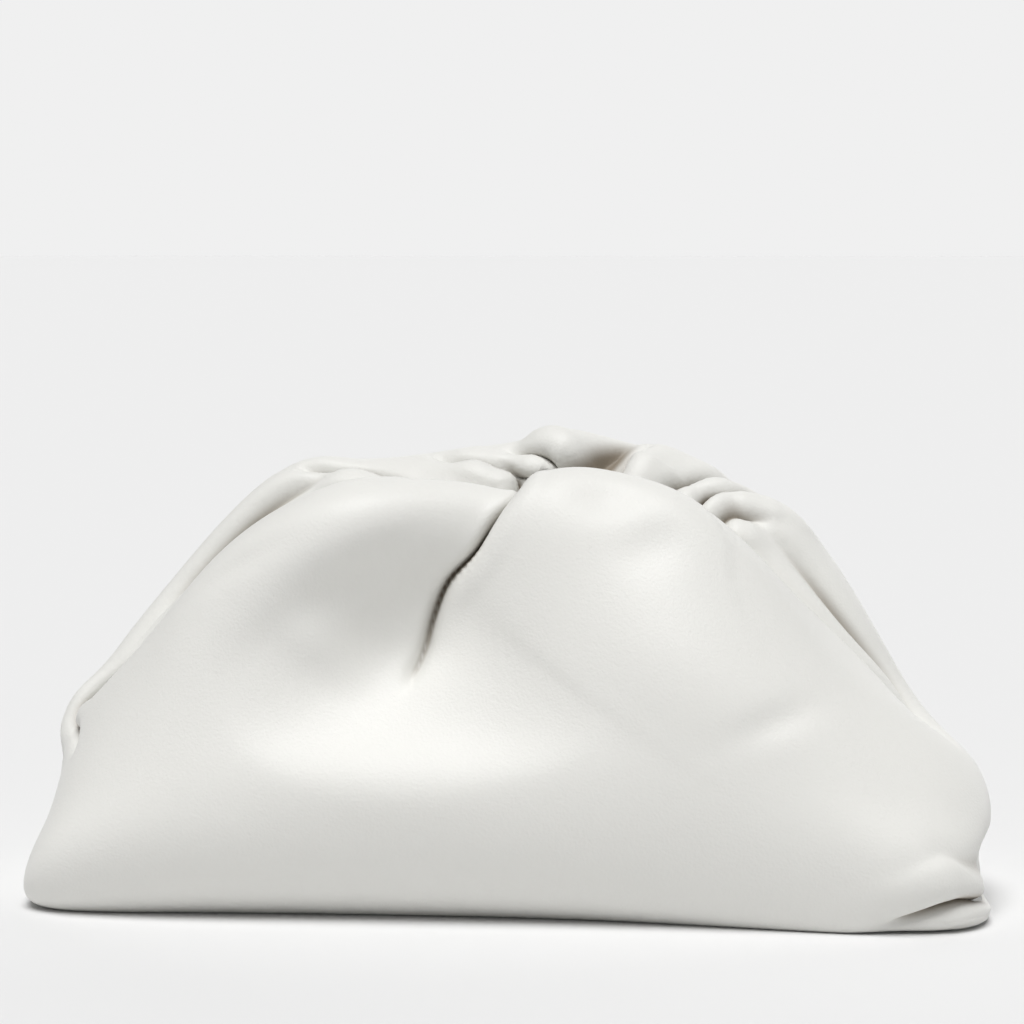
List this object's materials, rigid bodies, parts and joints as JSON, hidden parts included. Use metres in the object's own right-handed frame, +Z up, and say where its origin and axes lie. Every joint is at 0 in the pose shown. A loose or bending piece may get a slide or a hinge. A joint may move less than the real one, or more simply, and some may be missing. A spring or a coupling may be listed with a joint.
{
  "type": "gathered leather pouch bag",
  "caption": "Large soft clutch of smooth white leather with rounded lobes gathered onto a hidden arched clasp frame, standing on a flat base",
  "frame": {"origin": "middle of the outline, on the surface that the bag stands on", "axes": "+X runs to the right along the mouth, +Y to the back, +Z up"},
  "size_m": [0.3752, 0.1536, 0.1758],
  "materials": {
    "body_leather": "smooth fine-grained white leather with a soft low sheen",
    "clasp_covering": "plain frame covered in the same white leather"
  },
  "bodies": {
    "root": {"leather_body": "body_leather", "clasp_frame": "clasp_covering"}
  },
  "joints": []
}
